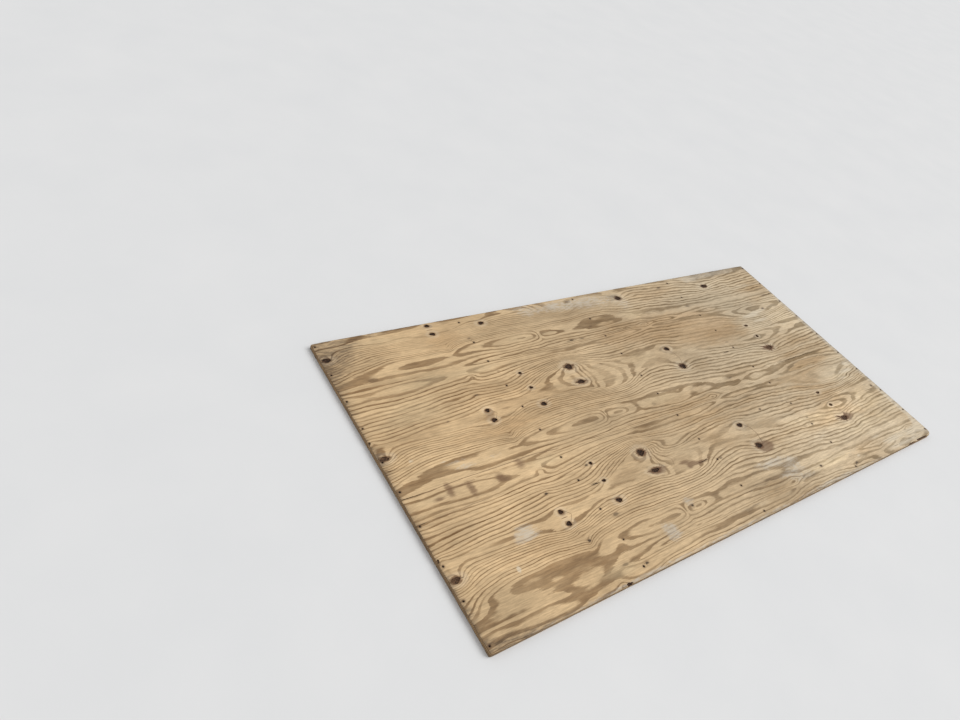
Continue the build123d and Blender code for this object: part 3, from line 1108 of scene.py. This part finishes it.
weakest = broad * 0.5 + 0.38
late_share = late * (weakest + ring_luck * (1 - weakest))
late_share *= step(noise(12, 55), 0.3, 0.6, 0.78, 1) * step(noise(3, 9), 0.3, 0.6, 0.72, 1.04)
late_share *= step(faint, 0, 1, 1, 0.35) * step(along, -0.4, 0.5, 1.02, 0.98)
late_share *= 1 - 0.24 * broad
late_wood = mixed(painted_glow_to_right, LATE_BROWN, LATE_PALE)
wood = coated(early, (late_share, late_wood), (paler * 0.3, PALER_WOOD))

shade = step(abs(along + 0.02), 0.1, 0.9, 0.875, 1)
shade *= 1 + stored("shading") * step(mottled, 0.3, 0.7, 0.7, 1.3)
for unevenness, low_shade, high_shade in (
    (fibres, 0.92, 1.06), (streaks, 0.92, 1.06), (mottled, 0.93, 1.06),
    (cloudy, 1.07, 0.88), (gritty, 0.86, 1.125),
):
    shade *= step(unevenness, 0.3, 0.7, low_shade, high_shade)
wood = mixed(1, wood, shade, "MULTIPLY")
print("face veneer: wood ready")

# %% [markdown]
# ### Knots, nails and stains on the face
# These lie over the rings as they came: the brown of the knots, which runs out in rays,
# then stains and what rubbed the wood bare or grey, and last rust, dents and thin checks.
# Each is a coat with a share of its own, so one list holds their order.

# %% Stains over the rings
GREY_DIRT, RUBBED_WOOD = light_of(168, 168, 174), light_of(220, 208, 186)
BROWN_STAIN, SPLINTER_BROWN = light_of(104, 74, 52), light_of(126, 106, 80)
PALE_FILM_AND_HIGHLIGHT, KNOT_BROWN = light_of(192, 188, 178), light_of(92, 62, 42)
NEARLY_BLACK = light_of(34, 24, 18)

ragged_edge = noise(24, 150, 1, 4, 0.65) * 0.55 + mottled * 0.45
spotty = noise(60, 90)
greyed, rubbed, browned = parts(stored("wear", "Vector"))


def broken_up(amount, unevenness, harsh=1):
    """A soft patch whose edge follows noise, which moves the level at which it starts."""
    moved = amount + (unevenness * (2 * harsh) - harsh)
    return step(moved * step(amount, 0, 0.35), 0.12, 0.9)


ray_along, ray_across = knot_along / knot_away, knot_across / knot_away
direction = node("CombineXYZ", 0, {0: ray_along, 1: ray_across, 2: knot_luck * 9})
rays = step(noise(2.8, 2.8, 1, 2, 0.6, direction), 0.5, 0.68, 0, 2.3)
rays *= sums("POWER", knot_dark, 4) * (ray_along * ray_along * 0.6 + 0.4)
rays *= step(across, 0.25, 0.3, 1, 0)
knot_edge = knot_away + (spotty * 1.2 - 0.6 - rays)
knot_halo = step(knot_edge, 1.2, 1.7) * step(knot_edge, 2, 3.3, 0.16, 0) * near_knot
knot_ring = step(knot_edge, 1, 1.65, 1, 0) * near_knot * (knot_dark * 0.55 + 0.35)

# a pale film, and along the near edge partly a painted highlight
film_and_edge_highlight = broken_up(stored("smear_and_edge_highlight"), spotty * 0.5 + ragged_edge * 0.5, 1.5)
film_and_edge_highlight *= step(gritty, 0.34, 0.62, 0.12, 0.64) * (1 - 0.5 * late_share)
splinters = step(noise(6, 110, 1, 4, 0.7), 0.53, 0.66) * step(rubbed, 0.05, 0.7)
grey = loosened(greyed, 0.05, 1.5) * step(gritty, 0.32, 0.64, 1.15, 0.55)

mark_along, mark_across, mark_dark = parts(stored("mark_way", "Vector"))
mark_far = sums("SQRT", mark_along * mark_along + mark_across * mark_across)
mark_far += spotty * 0.7 - 0.35
check_off, check_dark, _ = parts(stored("check", "Vector"))
check_off += noise(40, 60, 1, 2) * 4 - 2

wood = coated(
    wood,
    (knot_halo, RUBBED_WOOD),
    (knot_ring, KNOT_BROWN),
    (broken_up(browned, ragged_edge) * 0.7, BROWN_STAIN),
    (film_and_edge_highlight, PALE_FILM_AND_HIGHLIGHT),
    (broken_up(rubbed, ragged_edge) * 0.55, RUBBED_WOOD),
    (splinters * 0.6, SPLINTER_BROWN),
    (grey, GREY_DIRT, "MULTIPLY"),
    (step(mark_far, 0.9, 2.4, 0.4, 0) * mark_dark, KNOT_BROWN),
    (step(mark_far, 0.55, 1.15, 1, 0) * mark_dark, NEARLY_BLACK),
    (step(abs(check_off), 0.4, 1.7, 1, 0) * check_dark, KNOT_BROWN),
)
dull = step(late_share, 0, 1, 0.82, 0.68)
finish_surface(wood, dull, late_share * 0.6 + fibres * 0.5, 0.45, 0.0005)
print("face veneer:", len(tree.nodes), "nodes")

# %% [markdown]
# ### The edge with its five plies
# The plies take turns: those with the grain along the wall show long fibres, and those that
# end at the wall show dark, open end grain, with thin dark lines of glue between. Each ply
# could have a material of its own, but one serves for all: which wall it is follows from
# where the surface faces, and which ply from the height.

# %% Edge plies
LONG_DARK, LONG_LIGHT = light_of(158, 126, 88), light_of(206, 178, 136)
END_DARK, END_LIGHT = light_of(84, 62, 44), light_of(150, 120, 86)
PLY_BROWN, GLUE_LINE, EDGE_DIRT_AND_SHADE = light_of(132, 96, 62), light_of(58, 36, 26), light_of(96, 84, 70)

edge_plies, tree, place = new_material("edge_plies")
height = parts(place)[2]
faces_end = step(abs(parts(node("NewGeometry", "True Normal"))[0]), 0.6, 0.8)
wavy = noise(9, 9, 1, 2) * 0.0011 - 0.00055
ply_way = (height + wavy) / (PLY * MM)
ply_number = sums("FLOOR", sums("MINIMUM", sums("MAXIMUM", ply_way, 0), 4.9))
end_grain = abs(sums("MODULO", ply_number, 2) - faces_end)
glue = step(abs(sums("FRACT", ply_way + 0.5) - 0.5), 0.03, 0.1, 1, 0)
long_fibres = noise(14, 14, 900, 3, 0.65)
open_pores = noise(420, 420, 420, 3, 0.7)
# dark patches of dirt, and partly painted shade: the walls are made darker, as a wall in shade
# looks
dirt_and_painted_shade = step(noise(11, 11, 60, 4, 0.65), 0.42, 0.72, 0, 0.7)
ply_wood = coated(
    mixed(step(long_fibres, 0.3, 0.7), LONG_DARK, LONG_LIGHT),
    (end_grain, mixed(step(open_pores, 0.35, 0.68), END_DARK, END_LIGHT)),
    (luck_of(ply_number) * 0.3, PLY_BROWN),
    (glue * 0.75, GLUE_LINE),
    (dirt_and_painted_shade, EDGE_DIRT_AND_SHADE),
)
finish_surface(ply_wood, 0.86, end_grain * open_pores + long_fibres * 0.6, 0.6, 0.0006)
print("edge plies:", len(tree.nodes), "nodes")

# %% [markdown]
# ### Inside the holes
# Bark, dirt and shadow make the holes nearly black, with a little brown of the ply below.
# Even black would look like paint, so crumbly noise mixes the two. Knots of two whorls left
# some of their wood, but for those of the far turn.

# %% Hole walls and floors
HOLE_DARK, HOLE_BROWN, KNOT_WOOD = light_of(20, 15, 12), light_of(80, 55, 38), light_of(112, 84, 60)
LEFT_WHORL, RIGHT_WHORL = -1.192, 0.818  # place along the sheet, in metres

hollow_wood, tree, place = new_material("hollow_wood")
along, across, _ = parts(place)
crumbly = noise(240, 240, 240, 4, 0.65)
from_whorl = sums("MINIMUM", abs(along - RIGHT_WHORL), abs(along - LEFT_WHORL))
still_wood = step(from_whorl, 0.04, 0.06, 1, 0) * step(crumbly, 0.36, 0.62, 0, 0.6)
still_wood *= step(across, 0.25, 0.3, 1, 0)
dark_wood = mixed(step(crumbly, 0.36, 0.66), HOLE_DARK, HOLE_BROWN)
finish_surface(mixed(still_wood, dark_wood, KNOT_WOOD), 0.9, crumbly, 0.8, 0.001)
print("hollow wood:", len(tree.nodes), "nodes")

# %% [markdown]
# ### The underside
# The back veneer is a plainer grade. It was peeled in the same way, but nothing on it is
# worth placing one by one, so its rings are drawn by the material alone: a slow wave across
# the sheet, disturbed by long soft noise.

# %% Back veneer
BACK_EARLY, BACK_LATE = light_of(202, 172, 128), light_of(142, 106, 70)
BACK_KNOT, BACK_FIBRE = light_of(78, 50, 34), light_of(120, 88, 58)
BACK_DIRT = light_of(140, 126, 106)
BACK_TURN = 0.47  # one turn of the log, in metres

back_veneer, tree, place = new_material("back_veneer")
swing = sums("COSINE", parts(place)[1] * (2 * math.pi / BACK_TURN)) * 5
back_year = sums("FRACT", swing + noise(1.7, 7, 1, 3, 0.5) * 6 + noise(12, 140) * 0.3)
back_late = step(back_year, 0.4, 0.88) * step(back_year, 0.93, 1, 1, 0)
cells = {"Vector": node("Mapping", 0, {"Vector": place, "Scale": (3.4, 5.2, 1)}), "Scale": 1}
knot_far = node("TexVoronoi", "Distance", cells, voronoi_dimensions="2D")
back_fibres = noise(6, 300, 1, 3, 0.6)
back_wood = coated(
    mixed(back_late * 0.85, BACK_EARLY, BACK_LATE),
    (step(knot_far, 0.035, 0.07, 1, 0), BACK_KNOT),
    (step(back_fibres, 0.35, 0.75, 0, 0.25), BACK_FIBRE),
    (step(noise(2.5, 6, 1, 4, 0.6), 0.45, 0.75, 0, 0.55), BACK_DIRT),
)
finish_surface(back_wood, 0.85, back_late * 0.5 + back_fibres, 0.5, 0.0005)
print("back veneer:", len(tree.nodes), "nodes")

# %% [markdown]
# ## Each face gets its finish
# The faces could be picked by hand. But where a polygon lies and which way it faces says
# what it is: face, underside, wall, or the inside of a hole. The lattice is shaded smooth,
# and edges over 32 degrees stay sharp.

# %% Finish for each polygon
# a face or back polygon lies beyond its level, and a wall polygon near the rim, all in mm
FACE_LEVEL, BACK_LEVEL, WALL_DEPTH = THICKNESS - 1.35, 0.9, 3.4
SHARP_ANGLE = math.radians(32)

for material in (face_veneer, edge_plies, hollow_wood, back_veneer):
    mesh.materials.append(material)
centres, normals = read(mesh.polygons, "center", 3) / MM, read(mesh.polygons, "normal", 3)
from_rim = np.minimum(HALF_LENGTH - np.abs(centres[:, 0]), HALF_WIDTH - np.abs(centres[:, 1]))
is_face = (centres[:, 2] > FACE_LEVEL) & (normals[:, 2] > 0.5)
is_back = (centres[:, 2] < BACK_LEVEL) & (normals[:, 2] < -0.5)
is_wall = ~is_face & ~is_back & (from_rim < WALL_DEPTH)
finish_number = np.select([is_face, is_wall, is_back], [0, 1, 3], 2)
mesh.polygons.foreach_set("material_index", finish_number.astype(np.int32))
mesh.polygons.foreach_set("use_smooth", np.ones(len(centres), bool))
mesh.set_sharp_from_angle(angle=SHARP_ANGLE)
print("face, wall, holes, back:", np.bincount(finish_number, minlength=4).tolist())

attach(plywood, "root")
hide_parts("plywood_sheet")

# %% [markdown]
# ## Floor
# The sheet lies on a plain pale floor. One square of 80 metres will do, because from low
# down its edge looks like the horizon, and from higher up it is out of the picture. It is
# staged, so it is shown with the sheet but isn't a part of it.

# %% Floor
FLOOR_REACH, FLOOR_LEVEL = 40_000, -0.2  # a little lower than the sheet, so they don't mix
FLOOR_GREY, FLOOR_LIGHT = light_of(214, 215, 216), light_of(222, 222, 222)
sides = ((-1, -1), (1, -1), (1, 1), (-1, 1))
corners = [(x * FLOOR_REACH, y * FLOOR_REACH, FLOOR_LEVEL) for x, y in sides]
floor = mesh_object("floor", corners, [(0, 1, 2, 3)])
floor_paint, tree, place = new_material("floor_paint")
floor_cloud = noise(3, 3, 1, 4)
finish_surface(mixed(floor_cloud, FLOOR_GREY, FLOOR_LIGHT), 0.7, floor_cloud, 0.05, 0.001)
floor.data.materials.append(floor_paint)

# %% [markdown]
# ## Light
# A lamp close by would light the sheet unevenly. So the soft light comes from a very wide,
# very distant lamp on the right, and from an even white surround. Together they are only so
# strong that a colour renders about as it is written.

# %% Lamps
SURROUND_STRENGTH = 0.62
SUN_TOWARDS, SUN_SPREAD, SUN_STRENGTH = (0.75, -0.3, 0.85), 40, 1.9

surround = bpy.data.worlds.new("surround")
bpy.context.scene.world = surround
surround.use_nodes = True
background = surround.node_tree.nodes["Background"]
background.inputs["Color"].default_value = (1.0, 1.0, 1.0, 1.0)
background.inputs["Strength"].default_value = SURROUND_STRENGTH

# a lamp so far off that it lights everything evenly, and so wide that its shadows are soft
window = placed("window", bpy.data.lights.new("window", "SUN"))
window.data.angle, window.data.energy = math.radians(SUN_SPREAD), SUN_STRENGTH
window.rotation_euler = Vector(SUN_TOWARDS).to_track_quat("Z", "Y").to_euler()
bpy.context.scene.view_settings.view_transform = "Standard"
print("surround", SURROUND_STRENGTH, "and sun", SUN_STRENGTH)
